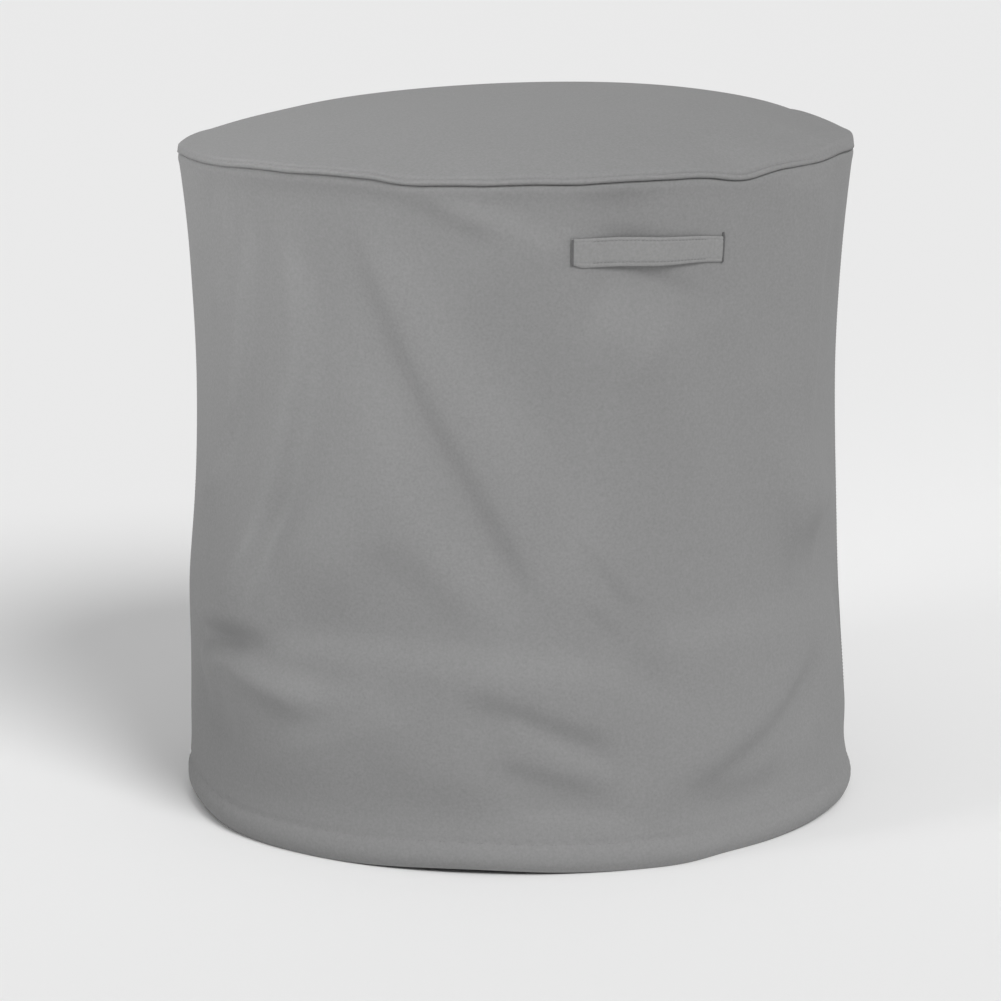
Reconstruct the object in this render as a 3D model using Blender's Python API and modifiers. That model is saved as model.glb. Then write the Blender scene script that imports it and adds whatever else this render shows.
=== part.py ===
"""A drape cover for a round barbecue grill, standing open on its hem.

The cover is a sewn shell: an oval top panel, a corded piping round the rim, a front and a rear skirt
panel, taped side seams, a turned hem, and two carrying straps on opposite sides. Each strap is sewn
down at both ends, and its middle bows off the skirt so that a hand goes behind it.

Metres, +Z up. The origin is the middle of the hem's lower edge. The front faces -Y, +X is to its right.
A "turn" is the angle round the cover from the front middle towards +X. A half width is the cover's
reach along X at some height, and its reach along Y is DEPTH_RATIO times as much.
"""

import math

import bmesh
import bpy
from mathutils import Matrix, Vector

# Overall shape
DEPTH_RATIO = 0.91
RIM_HEIGHT = 0.789
RIM_HALF_WIDTH = 0.400
WAIST_HEIGHT = 0.52
WAIST_HALF_WIDTH = 0.384
HEM_HALF_WIDTH = 0.408
HEM_FLARE_POWER = 1.6
CROWN = 0.055
CROWN_POWER = 3.3
CROWN_LEAN = 0.28

# Cloth, seams and clearances
CLOTH = 0.0025
GAP = 0.0003
SEAM_ROOM = 0.0004
FACET_ROOM = 0.0009
HEM_TURN_UP = 0.034
HEM_FACING = 0.001
HEM_FACING_LIFT = 0.0015
BINDING_WIDTH = 0.018
BINDING_THICKNESS = 0.001
BINDING_DROP = 0.006
SEAM_TAPE_WIDTH = 0.022
SEAM_TAPE_THICKNESS = 0.001
SEAM_TAPE_END_ROOM = 0.003

# Piping round the rim
PIPING_RADIUS = 0.0029
PIPING_WALL = 0.0006
PIPING_CORD_RADIUS = 0.0019
PIPING_MOUTH = math.radians(70)
PIPING_MOUTH_FACES = math.radians(205)
PIPING_SIDES = 7
CORD_SIDES = 6

# Carrying straps
HANDLE_TURN = math.radians(22.5)
HANDLE_HEIGHT = 0.710
STRAP_LENGTH = 0.180
STRAP_WIDTH = 0.030
STRAP_THICKNESS = 0.0034
STRAP_WALL = 0.0007
GRIP_LENGTH = 0.124
SEWN_LENGTH = 0.020
SWING_ROOM = 0.0012
STRAP_MOUTH = 0.002
SEWN_OFFSET = 0.0008
GRIP_END_OFFSET = 0.0070
GRIP_MIDDLE_OFFSET = 0.0135
STRAP_BEND = 0.002
TACK_WIDTH = 0.0025
TACK_THICKNESS = 0.0010
TACK_MARGIN = 0.001
TACK_ROUNDING = 0.00035
BACKING_LENGTH = 0.200
BACKING_WIDTH = 0.062
BACKING_THICKNESS = 0.0012
BACKING_ROOM = 0.0013

# Fineness
RIM_STEPS = 40
LOWER_ROWS = 8
CROWN_RINGS = (0.0, 0.35, 0.6, 0.78, 0.9, 1.0)
GRIP_STEPS = 8

PARTS = bpy.data.collections.new("grill_cover")
CUTTERS = bpy.data.collections.new("cutters")


def clear_scene():
    """Empties the scene, and links the collections for the parts and the cutters."""
    for old in list(bpy.data.objects):
        bpy.data.objects.remove(old, do_unlink=True)
    bpy.context.scene.collection.children.link(PARTS)
    bpy.context.scene.collection.children.link(CUTTERS)


def material(name, colour, roughness):
    """A matte Principled material, made once for each name."""
    found = bpy.data.materials.get(name)
    if found:
        return found
    made = bpy.data.materials.new(name)
    made.use_nodes = True
    shader = made.node_tree.nodes["Principled BSDF"]
    shader.inputs["Base Color"].default_value = (*colour, 1.0)
    shader.inputs["Roughness"].default_value = roughness
    shader.inputs["Metallic"].default_value = 0.0
    return made


def cover_cloth():
    return material("cover_cloth", (0.262, 0.262, 0.260), 0.88)


def lining_tape():
    return material("lining_tape", (0.075, 0.075, 0.078), 0.80)


def white_cord():
    return material("white_cord", (0.62, 0.61, 0.58), 0.70)


def webbing():
    return material("webbing", (0.030, 0.030, 0.032), 0.75)


def thread():
    return material("thread", (0.150, 0.150, 0.150), 0.60)


def add_object(name, mesh, finish):
    """Puts a mesh into the parts collection as a named object with one material."""
    placed = bpy.data.objects.new(name, mesh)
    mesh.materials.clear()
    mesh.materials.append(finish)
    PARTS.objects.link(placed)
    return placed


def half_width(height):
    """The skirt's half width: a waist that flares to the rim and to the hem, plumb over the turned hem."""
    if height >= WAIST_HEIGHT:
        share = (height - WAIST_HEIGHT) / (RIM_HEIGHT - WAIST_HEIGHT)
        return WAIST_HALF_WIDTH + (RIM_HALF_WIDTH - WAIST_HALF_WIDTH) * share**2
    share = min(1.0, (WAIST_HEIGHT - height) / (WAIST_HEIGHT - HEM_TURN_UP))
    return WAIST_HALF_WIDTH + (HEM_HALF_WIDTH - WAIST_HALF_WIDTH) * share**HEM_FLARE_POWER


def outward(turn):
    """The skirt's outward horizontal direction at a turn."""
    return Vector((math.sin(turn) * DEPTH_RATIO, -math.cos(turn), 0.0)).normalized()


def on_skirt(turn, height, offset=0.0):
    """A point on the skirt's outer face, or off it by an offset outwards."""
    wide = half_width(height)
    point = Vector((wide * math.sin(turn), -wide * DEPTH_RATIO * math.cos(turn), height))
    return point + outward(turn) * offset


def skirt_rows():
    """The heights at which the skirt's profile has an edge, two of them at the straps' edges."""
    strap_low = HANDLE_HEIGHT - STRAP_WIDTH / 2
    strap_high = HANDLE_HEIGHT + STRAP_WIDTH / 2
    step = (strap_low - HEM_TURN_UP) / LOWER_ROWS
    lower = [HEM_TURN_UP + step * k for k in range(LOWER_ROWS + 1)]
    top = RIM_HEIGHT - PIPING_RADIUS - GAP
    return [0.0, *lower, strap_high, (strap_high + top) / 2, top]


def cloth_patch(name, turns, heights, offsets, thickness, finish, side):
    """A sheet over the given turns and heights, bent from a flat grid and thickened.

    offsets holds the sheet's distance off the skirt's outer face at each turn. side is 1 where the
    thickness grows outwards and -1 where it grows inwards.
    """
    mesh = bpy.data.meshes.new(name)
    flat = bmesh.new()
    bmesh.ops.create_grid(flat, x_segments=len(turns) - 1, y_segments=len(heights) - 1, size=0.5)
    for vert in flat.verts:
        column = round((vert.co.x + 0.5) * (len(turns) - 1))
        row = round((vert.co.y + 0.5) * (len(heights) - 1))
        vert.co = on_skirt(turns[column], heights[row], offsets[column])
    bmesh.ops.recalc_face_normals(flat, faces=flat.faces)
    middle = flat.faces[:][len(flat.faces) // 2]
    if middle.normal.dot(Vector((middle.calc_center_median().x, middle.calc_center_median().y, 0.0))) < 0:
        bmesh.ops.reverse_faces(flat, faces=flat.faces)
    flat.to_mesh(mesh)
    flat.free()
    patch = add_object(name, mesh, finish)
    wall = patch.modifiers.new("thickness", "SOLIDIFY")
    wall.thickness = thickness
    wall.offset = side
    wall.use_even_offset = True
    return patch


def turned_ring(name, profile, finish, closed):
    """A ring swept round the cover from (half width, height) points, then made oval."""
    mesh = bpy.data.meshes.new(name)
    edges = [(k, k + 1) for k in range(len(profile) - 1)]
    if closed:
        edges.append((len(profile) - 1, 0))
    mesh.from_pydata([(x, 0.0, z) for x, z in profile], edges, [])
    ring = add_object(name, mesh, finish)
    sweep = ring.modifiers.new("sweep", "SCREW")
    sweep.steps = RIM_STEPS
    sweep.render_steps = RIM_STEPS
    sweep.use_merge_vertices = True
    sweep.merge_threshold = 0.00001
    swept = bpy.data.meshes.new_from_object(ring.evaluated_get(bpy.context.evaluated_depsgraph_get()))
    ring.modifiers.clear()
    ring.data = swept
    swept.name = name
    swept.transform(Matrix.Diagonal((1.0, DEPTH_RATIO, 1.0, 1.0)))
    return ring


def even_turns(first, last, steps):
    return [first + (last - first) * k / steps for k in range(steps + 1)]


def skirt_panels():
    """The front and rear panels, which meet at the side seams on +X and -X."""
    half_gap = SEAM_ROOM / (WAIST_HALF_WIDTH * DEPTH_RATIO)
    steps = RIM_STEPS // 2
    for name, middle in (("front_skirt_panel", 0.0), ("rear_skirt_panel", math.pi)):
        turns = even_turns(middle - math.pi / 2, middle + math.pi / 2, steps)
        turns[0] += half_gap
        turns[-1] -= half_gap
        cloth_patch(name, turns, skirt_rows(), [0.0] * len(turns), CLOTH, cover_cloth(), -1)


def hem_facings():
    """The hem's turned-up inner layers, a little above the fold that the cover stands on."""
    inset = CLOTH + GAP
    half_gap = SEAM_ROOM / (WAIST_HALF_WIDTH * DEPTH_RATIO)
    heights = [HEM_FACING_LIFT, HEM_TURN_UP - GAP]
    for name, middle in (("front_hem_facing", 0.0), ("rear_hem_facing", math.pi)):
        turns = even_turns(middle - math.pi / 2, middle + math.pi / 2, RIM_STEPS // 2)
        turns[0] += half_gap
        turns[-1] -= half_gap
        cloth_patch(name, turns, heights, [-inset] * len(turns), HEM_FACING, cover_cloth(), -1)


def side_seam_tapes():
    """The tapes over the side seams' raw edges, inside the skirt."""
    inset = CLOTH + GAP + FACET_ROOM
    low = HEM_TURN_UP + SEAM_TAPE_END_ROOM
    high = RIM_HEIGHT - BINDING_DROP - BINDING_WIDTH - SEAM_TAPE_END_ROOM
    heights = [low, *(row for row in skirt_rows() if low < row < high), high]
    reach = SEAM_TAPE_WIDTH / 2 / (WAIST_HALF_WIDTH * DEPTH_RATIO)
    for name, seam in (("left_side_seam_tape", -math.pi / 2), ("right_side_seam_tape", math.pi / 2)):
        turns = [seam - reach, seam, seam + reach]
        cloth_patch(name, turns, heights, [-inset] * 3, SEAM_TAPE_THICKNESS, lining_tape(), -1)


def rim_binding():
    """The tape that binds the rim seam's raw edges, inside the skirt's top."""
    high = RIM_HEIGHT - BINDING_DROP
    low = high - BINDING_WIDTH
    inset = CLOTH + GAP + FACET_ROOM
    profile = [(half_width(high) - inset, high), (half_width(low) - inset, low)]
    ring = turned_ring("rim_seam_binding", profile, lining_tape(), closed=False)
    wall = ring.modifiers.new("thickness", "SOLIDIFY")
    wall.thickness = BINDING_THICKNESS
    wall.offset = -1
    wall.use_even_offset = True


def piping():
    """The corded piping: a cloth wrap with its mouth towards the seam, and the cord inside it."""
    centre = RIM_HALF_WIDTH - CLOTH / 2
    sweep = 2 * math.pi - PIPING_MOUTH
    start = PIPING_MOUTH_FACES - PIPING_MOUTH / 2
    profile = []
    for k in range(PIPING_SIDES + 1):
        angle = start - sweep * k / PIPING_SIDES
        wide = centre + PIPING_RADIUS * math.cos(angle)
        profile.append((wide, RIM_HEIGHT + PIPING_RADIUS * math.sin(angle)))
    wrap = turned_ring("piping_wrap", profile, cover_cloth(), closed=False)
    wall = wrap.modifiers.new("thickness", "SOLIDIFY")
    wall.thickness = PIPING_WALL
    wall.offset = -1
    wall.use_even_offset = True

    bpy.ops.mesh.primitive_torus_add(
        major_radius=centre,
        minor_radius=PIPING_CORD_RADIUS,
        major_segments=RIM_STEPS,
        minor_segments=CORD_SIDES,
    )
    made = bpy.context.object
    mesh = made.data
    mesh.transform(Matrix.Translation((0.0, 0.0, RIM_HEIGHT)) @ Matrix.Diagonal((1.0, DEPTH_RATIO, 1.0, 1.0)))
    bpy.data.objects.remove(made)
    mesh.name = "piping_cord"
    add_object("piping_cord", mesh, white_cord())


def crown_height(x, y):
    """The top panel's height above the rim at a place given as shares of the half width and half depth."""
    reach = min(1.0, math.hypot(x, y))
    return CROWN * (1.0 - reach**CROWN_POWER) * (1.0 + CROWN_LEAN * x)


def top_panel():
    """The domed top: a disc of rings, made oval and lifted to the crown, inside the piping."""
    edge = RIM_HALF_WIDTH - CLOTH / 2 - PIPING_RADIUS - 2 * GAP
    profile = [(edge * share, RIM_HEIGHT) for share in CROWN_RINGS]
    panel = turned_ring("top_panel", profile, cover_cloth(), closed=False)
    disc = bmesh.new()
    disc.from_mesh(panel.data)
    bmesh.ops.remove_doubles(disc, verts=disc.verts, dist=0.00001)
    for vert in disc.verts:
        vert.co.z += crown_height(vert.co.x / edge, vert.co.y / edge / DEPTH_RATIO)
    bmesh.ops.recalc_face_normals(disc, faces=disc.faces)
    if sum(face.normal.z for face in disc.faces) < 0:
        bmesh.ops.reverse_faces(disc, faces=disc.faces)
    disc.to_mesh(panel.data)
    disc.free()
    wall = panel.modifiers.new("thickness", "SOLIDIFY")
    wall.thickness = CLOTH
    wall.offset = -1


def strap_turn(middle, distance):
    """The turn at a distance along the skirt from a strap's middle."""
    wide = half_width(HANDLE_HEIGHT)
    pace = math.hypot(wide * math.cos(middle), wide * DEPTH_RATIO * math.sin(middle))
    return middle + distance / pace


def grip_offset(distance):
    """The free middle of a strap bows off the skirt in a shallow arch."""
    share = distance / (GRIP_LENGTH / 2)
    return GRIP_MIDDLE_OFFSET + (GRIP_END_OFFSET - GRIP_MIDDLE_OFFSET) * share**2


def hinge_point(middle):
    """The middle of the line through a strap's two sewn ends, on which the free strap swings."""
    turns = [strap_turn(middle, side * GRIP_LENGTH / 2) for side in (-1, 1)]
    ends = [on_skirt(turn, HANDLE_HEIGHT, GRIP_END_OFFSET) for turn in turns]
    return (ends[0] + ends[1]) / 2


def set_origin(piece, point):
    """Moves a piece's origin to a point, and leaves its shape where it is."""
    piece.data.transform(Matrix.Translation(-point))
    piece.location = point


def strap_edges(inset):
    return [HANDLE_HEIGHT - STRAP_WIDTH / 2 + inset, HANDLE_HEIGHT + STRAP_WIDTH / 2 - inset]


def grip(name, middle):
    """The free strap: a cloth sleeve, open at both ends, round a webbing core."""
    reach = GRIP_LENGTH / 2 - SWING_ROOM
    places = [reach * (2 * k / GRIP_STEPS - 1) for k in range(GRIP_STEPS + 1)]
    turns = [strap_turn(middle, place) for place in places]
    offsets = [grip_offset(place) for place in places]
    sleeve = cloth_patch(f"{name}_strap", turns, strap_edges(0), offsets, STRAP_THICKNESS, cover_cloth(), 1)

    long_places = [-reach - STRAP_MOUTH, *places[1:-1], reach + STRAP_MOUTH]
    long_turns = [strap_turn(middle, place) for place in long_places]
    hollow_offsets = [grip_offset(place) + STRAP_WALL for place in long_places]
    hollow = cloth_patch(
        f"{name}_hollow",
        long_turns,
        strap_edges(STRAP_WALL),
        hollow_offsets,
        STRAP_THICKNESS - 2 * STRAP_WALL,
        cover_cloth(),
        1,
    )
    PARTS.objects.unlink(hollow)
    CUTTERS.objects.link(hollow)
    hollow.hide_render = True
    hollow.display_type = "WIRE"
    cut = sleeve.modifiers.new("hollow", "BOOLEAN")
    cut.operation = "DIFFERENCE"
    cut.object = hollow

    inset = STRAP_WALL + GAP
    core_offsets = [offset + inset for offset in offsets]
    core_thickness = STRAP_THICKNESS - 2 * inset
    core = cloth_patch(f"{name}_core", turns, strap_edges(inset), core_offsets, core_thickness, webbing(), 1)
    for piece in (sleeve, core):
        set_origin(piece, hinge_point(middle))


def sewn_end(name, middle, side):
    """A strap's end: flat and stitched down at the outside, rising to meet the free strap."""
    outer = STRAP_LENGTH / 2
    places = [outer, outer - SEWN_LENGTH, GRIP_LENGTH / 2 + STRAP_BEND, GRIP_LENGTH / 2]
    lifts = [SEWN_OFFSET, SEWN_OFFSET, grip_offset(places[2]), grip_offset(places[3])]
    pairs = sorted((side * place, lift) for place, lift in zip(places, lifts))
    turns = [strap_turn(middle, place) for place, _ in pairs]
    offsets = [lift for _, lift in pairs]
    cloth_patch(name, turns, strap_edges(0), offsets, STRAP_THICKNESS, cover_cloth(), 1)


def bar_tack(name, middle, side):
    """The raised row of dense stitches across a strap's sewn end."""
    place = side * (STRAP_LENGTH / 2 - TACK_WIDTH)
    turn = strap_turn(middle, place)
    offset = SEWN_OFFSET + STRAP_THICKNESS + GAP + TACK_THICKNESS / 2
    lean = on_skirt(turn, strap_edges(0)[1], offset) - on_skirt(turn, strap_edges(0)[0], offset)
    up = lean.normalized()
    out = outward(turn)
    across = up.cross(out).normalized()
    out = across.cross(up)
    turned = Matrix((across, up, out)).transposed().to_4x4()
    size = Matrix.Diagonal((TACK_WIDTH, STRAP_WIDTH - 2 * TACK_MARGIN, TACK_THICKNESS, 1.0))
    mesh = bpy.data.meshes.new(name)
    bar = bmesh.new()
    bmesh.ops.create_cube(bar, size=1.0, matrix=size)
    bar.to_mesh(mesh)
    bar.free()
    tack = add_object(name, mesh, thread())
    tack.matrix_world = Matrix.Translation(on_skirt(turn, HANDLE_HEIGHT, offset)) @ turned
    round_edge = tack.modifiers.new("round_edge", "BEVEL")
    round_edge.width = TACK_ROUNDING
    round_edge.segments = 1


def backing(name, middle):
    """The patch inside the skirt that takes a strap's pull."""
    reach = BACKING_LENGTH / 2
    turns = [strap_turn(middle, reach * (k / 3 - 1)) for k in range(7)]
    low = HANDLE_HEIGHT - BACKING_WIDTH / 2
    high = HANDLE_HEIGHT + BACKING_WIDTH / 2
    inset = CLOTH + GAP + BACKING_ROOM
    heights = [low, *strap_edges(0), high]
    cloth_patch(name, turns, heights, [-inset] * len(turns), BACKING_THICKNESS, cover_cloth(), -1)


def handles():
    """The front strap, and the same strap half a turn round the cover."""
    for name, middle in (("front_handle", HANDLE_TURN), ("rear_handle", HANDLE_TURN + math.pi)):
        grip(name, middle)
        for side_name, side in (("left", -1), ("right", 1)):
            sewn_end(f"{name}_{side_name}_end", middle, side)
            bar_tack(f"{name}_{side_name}_bar_tack", middle, side)
        backing(f"{name}_backing", middle)


clear_scene()
top_panel()
piping()
skirt_panels()
side_seam_tapes()
rim_binding()
hem_facings()
handles()
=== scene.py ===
import math

import bmesh
import bpy
import numpy as np
from mathutils import Matrix, Vector


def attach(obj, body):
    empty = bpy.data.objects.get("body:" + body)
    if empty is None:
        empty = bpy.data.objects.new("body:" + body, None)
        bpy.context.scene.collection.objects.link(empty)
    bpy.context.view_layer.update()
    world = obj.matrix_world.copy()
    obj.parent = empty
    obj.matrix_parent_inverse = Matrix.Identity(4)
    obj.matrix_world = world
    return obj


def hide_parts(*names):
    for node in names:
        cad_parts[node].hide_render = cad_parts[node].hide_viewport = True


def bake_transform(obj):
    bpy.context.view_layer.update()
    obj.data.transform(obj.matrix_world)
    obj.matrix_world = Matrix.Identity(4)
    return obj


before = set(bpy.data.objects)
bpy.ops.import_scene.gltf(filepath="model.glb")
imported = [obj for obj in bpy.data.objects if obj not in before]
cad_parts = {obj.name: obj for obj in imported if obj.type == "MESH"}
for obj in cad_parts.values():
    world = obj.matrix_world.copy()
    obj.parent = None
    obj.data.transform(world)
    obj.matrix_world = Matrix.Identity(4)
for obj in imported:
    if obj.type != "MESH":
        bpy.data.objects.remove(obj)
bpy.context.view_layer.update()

# --- The lay of the cloth -------------------------------------------------------------------------
# The skirt is one barrel of woven polyester that hangs from the rim and stands out over the hem.
# A turn is the angle round the cover from the front middle towards +X, a height is over the hem's
# edge. Every layer of the cover follows this one surface, so the layers stay on each other.

RIM_HEIGHT = 0.789
WAIST_HEIGHT = 0.52
HEM_BAND = 0.034
DEPTH_RATIO = 0.91
MEAN_RADIUS = 0.385
WAIST, RIM_SPREAD, HEM_SPREAD = 0.384, 0.016, 0.024
EAST = math.pi / 2


def half_width(height):
    """The waist, and the square of the way up to the rim times the rim's spread, or the way down to
    the hem band to the power 1.6 times the hem's. A tuck of 4.5 mm pulls in over the hem band, and
    the edge curls in by 5 mm."""
    up = np.clip((height - WAIST_HEIGHT) / (RIM_HEIGHT - WAIST_HEIGHT), 0, None)
    down = np.clip((WAIST_HEIGHT - height) / (WAIST_HEIGHT - HEM_BAND), 0, 1.05)
    tuck = 0.0045 * np.exp(-(((height - 0.062) / 0.034) ** 2))
    curl = 0.005 * np.clip(1 - height / 0.022, 0, 1) ** 2
    return WAIST + RIM_SPREAD * up**2 + HEM_SPREAD * down**1.6 - tuck - curl


def round_bells(turn, bells):
    """A sum of bell curves round the barrel, each a turn and a width in degrees and a rise in mm."""
    bells = np.array(bells) * [math.pi / 180, math.pi / 180, 0.001]
    away = (np.asarray(turn)[..., None] - bells[:, 0] + np.pi) % (2 * np.pi) - np.pi
    return (bells[:, 2] * np.exp(-((away / bells[:, 1]) ** 2))).sum(-1)


def rim_wave(turn):
    """The rim seam's rise and fall."""
    bells = [[-45, 11, 5.6], [-30, 8, 6.2], [-23, 3.5, 2.4], [-9, 6, 1.8], [2, 6, 3.0], [19, 11, 4.0]]
    bells += [[30, 5, 1.8], [39.5, 5, -5.0], [50, 9, 2.0], [69, 7, 3.6], [100, 12, -7.0], [150, 12, 2.5]]
    bells += [[207, 18, -6.0], [243, 15, -11.0], [267, 12, -8.0]]
    return round_bells(turn, bells)


def hem_wave(turn):
    """The hem's rise off the ground where the skirt is drawn up."""
    return round_bells(turn, [[-71, 13, 6.0], [-8, 15, 6.0], [66, 11, 3.5]])


HANDLE_HEIGHT = 0.710
HANDLE_TURNS = {"front_handle": math.radians(22.5), "rear_handle": math.radians(202.5)}
HANDLE_FALL = 0.030
STRAP_HALF_LENGTH = 0.092
STRAP_HALF_WIDTH = 0.015


def strap_pace(middle):
    """The length round the barrel of one radian of turn, at a strap's middle."""
    wide = half_width(HANDLE_HEIGHT)
    return math.hypot(wide * math.cos(middle), wide * DEPTH_RATIO * math.sin(middle))


# Each band of the cloth that leans out of plumb: how much lighter or darker the lean makes it, how
# wide it is in metres, and the way that it runs, as turns in degrees and heights in metres.
LEANING_BANDS = [
    # narrow pleats that fall from the rim at the left
    (0.30, 0.011, [(-50, 0.765), (-50, 0.70), (-53, 0.61), (-56, 0.50), (-61, 0.44), (-73, 0.385)]),
    (0.22, 0.009, [(-55, 0.765), (-56, 0.70), (-61, 0.62)]),
    (0.18, 0.010, [(-62, 0.76), (-66, 0.72), (-73, 0.68)]),
    (0.34, 0.015, [(-42, 0.74), (-38, 0.65), (-38, 0.58), (-41, 0.505),
                   (-45, 0.42), (-50, 0.345), (-55, 0.29)]),
    (0.20, 0.013, [(-45, 0.40), (-50, 0.345), (-55, 0.285)]),
    # the long valley and the two broad folds beside it
    (-0.21, 0.014, [(-29, 0.75), (-24, 0.66), (-18, 0.575), (-11.5, 0.495),
                    (-5, 0.42), (1.5, 0.343), (5, 0.30)]),
    (0.14, 0.028, [(-26, 0.76), (-19, 0.69), (-12.5, 0.615), (-4, 0.53),
                   (4, 0.48), (9, 0.42), (8, 0.35), (8, 0.29)]),
    (0.13, 0.028, [(-30, 0.62), (-23, 0.52), (-18, 0.44), (-11.5, 0.375), (-5, 0.32), (0, 0.285)]),
    (-0.11, 0.022, [(-28, 0.375), (-20, 0.36), (-12, 0.32), (-6, 0.28)]),
    (-0.09, 0.034, [(-46, 0.36), (-38, 0.32), (-28, 0.31)]),
    # the pull of the strap on the rim
    (-0.18, 0.010, [(-17, 0.772), (-10, 0.747), (-2.5, 0.728)]),
    (0.19, 0.011, [(-11.5, 0.776), (-1.3, 0.748), (9, 0.713)]),
    (-0.06, 0.060, [(-10, 0.69), (3, 0.62), (15, 0.53)]),
    (0.26, 0.040, [(12, 0.660), (20, 0.645), (26, 0.60)]),
    (0.07, 0.012, [(27, 0.61), (41, 0.655)]),
    (-0.16, 0.008, [(21, 0.70), (31, 0.662)]),
    # the right side, with its wide dent
    (-0.22, 0.034, [(67, 0.75), (66, 0.55), (61, 0.45)]),
    (0.08, 0.020, [(50, 0.74), (51, 0.60), (51, 0.52)]),
    (-0.08, 0.016, [(45, 0.53), (47, 0.51)]),
    (-0.36, 0.045, [(53, 0.35), (66, 0.36), (76, 0.33)]),
    (-0.20, 0.006, [(11.5, 0.385), (16, 0.34), (20.5, 0.30)]),
    (-0.17, 0.008, [(11.5, 0.315), (15, 0.29), (18, 0.27)]),
    # the shelf where the cloth lies over what stands under it
    (0.13, 0.020, [(20, 0.262), (35, 0.268), (47, 0.27), (60, 0.262), (80, 0.25)]),
    (0.24, 0.017, [(-50, 0.24), (-40, 0.247), (-30, 0.25), (-12, 0.25),
                   (5, 0.246), (15, 0.235), (23, 0.208)]),
    (0.36, 0.013, [(-66, 0.215), (-57, 0.217), (-50, 0.212), (-41, 0.204), (-31, 0.195)]),
    (0.20, 0.020, [(-44, 0.208), (-31, 0.199), (-20, 0.213)]),
    (-0.40, 0.014, [(-76, 0.231), (-64, 0.239), (-54, 0.244), (-45, 0.247)]),
    (-0.30, 0.034, [(-78, 0.17), (-68, 0.16), (-58, 0.15), (-50, 0.12)]),
    (-0.28, 0.013, [(-61, 0.199), (-52, 0.190), (-42, 0.174), (-37, 0.167)]),
    # folds under the shelf
    (0.17, 0.022, [(19, 0.225), (24, 0.19), (23.5, 0.13), (21.5, 0.055)]),
    (0.13, 0.014, [(-42, 0.13), (-33, 0.155), (-24, 0.18), (-16, 0.19)]),
    (-0.26, 0.016, [(-10, 0.214), (1, 0.19), (10, 0.165), (17, 0.145)]),
    (0.17, 0.008, [(-4, 0.19), (6, 0.155), (17, 0.11)]),
    (-0.24, 0.014, [(-4, 0.135), (5, 0.115), (14, 0.094)]),
    (-0.10, 0.030, [(-27, 0.14), (-15, 0.10), (-5, 0.085)]),
    (0.22, 0.007, [(-1.5, 0.068), (8, 0.064), (19, 0.058)]),
    (-0.34, 0.019, [(62.5, 0.214), (50, 0.155), (38, 0.12), (27, 0.077)]),
    (-0.18, 0.022, [(30, 0.07), (42, 0.075), (52, 0.09)]),
    (0.13, 0.016, [(68, 0.197), (60, 0.13), (56, 0.09)]),
    # the rear, which hangs in the same way
    (0.14, 0.024, [(118, 0.75), (124, 0.62), (130, 0.48), (138, 0.36)]),
    (-0.20, 0.016, [(112, 0.74), (119, 0.60), (125, 0.47), (132, 0.35)]),
    (0.12, 0.030, [(160, 0.74), (166, 0.60), (170, 0.45), (181, 0.31)]),
    (-0.17, 0.018, [(152, 0.70), (159, 0.55), (163, 0.42), (173, 0.31)]),
    (0.12, 0.020, [(215, 0.76), (209, 0.62), (205, 0.50), (199, 0.37)]),
    (-0.13, 0.026, [(223, 0.74), (217, 0.60), (214, 0.47), (208, 0.35)]),
    (0.11, 0.016, [(238, 0.75), (241, 0.62), (246, 0.49)]),
    (-0.14, 0.012, [(231, 0.75), (234, 0.63), (239, 0.50)]),
    (0.18, 0.018, [(100, 0.262), (125, 0.258), (150, 0.249), (178, 0.252),
                   (205, 0.262), (235, 0.258), (262, 0.25)]),
    (-0.18, 0.030, [(100, 0.20), (118, 0.17), (140, 0.175)]),
    (-0.20, 0.018, [(160, 0.21), (172, 0.17), (184, 0.12)]),
    (0.14, 0.016, [(168, 0.22), (181, 0.18), (193, 0.12)]),
    (-0.18, 0.022, [(246, 0.21), (232, 0.16), (218, 0.11)]),
    (0.13, 0.014, [(206, 0.17), (200, 0.12), (197, 0.06)]),
]

# The relief's grid, how its solver weighs things, and the light that it reckons with, of which the
# key lamp and the sky are the studio's own.
BAND_CONTRAST = 0.62
RELIEF_STEP = 0.005
RELIEF_COLUMNS = 484
RELIEF_ROWS = 256
RELIEF_ROUNDS = 45
STIFFNESS = 4.0e-7
TAUTNESS = 0.004
HOLD_BACK = 8.0
REAR_TURNING, REAR_TIPPING = 0.30, 0.25
KEY_TURN, KEY_RISE, KEY_POWER = math.radians(33), math.radians(43), 0.64
FILL_TURN, FILL_RISE, FILL_POWER = math.radians(-60), math.radians(25), 0.24
SKY, FLOOR_GLOW, FLOOR_SHADE = 0.54, 0.86, 0.44


def band_route(points):
    """The route through a band's points, eased so that its corners are round."""
    marks = np.array(points, float)
    marks[:, 0] = np.radians(marks[:, 0]) * MEAN_RADIUS
    along = np.concatenate([[0], np.cumsum(np.linalg.norm(np.diff(marks, axis=0), axis=1))])
    even = np.linspace(0, along[-1], 33)
    route = np.stack([np.interp(even, along, marks[:, k]) for k in (0, 1)], -1)
    for _ in range(6):
        route[1:-1] = (route[:-2] + 2 * route[1:-1] + route[2:]) / 4
    return route


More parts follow.
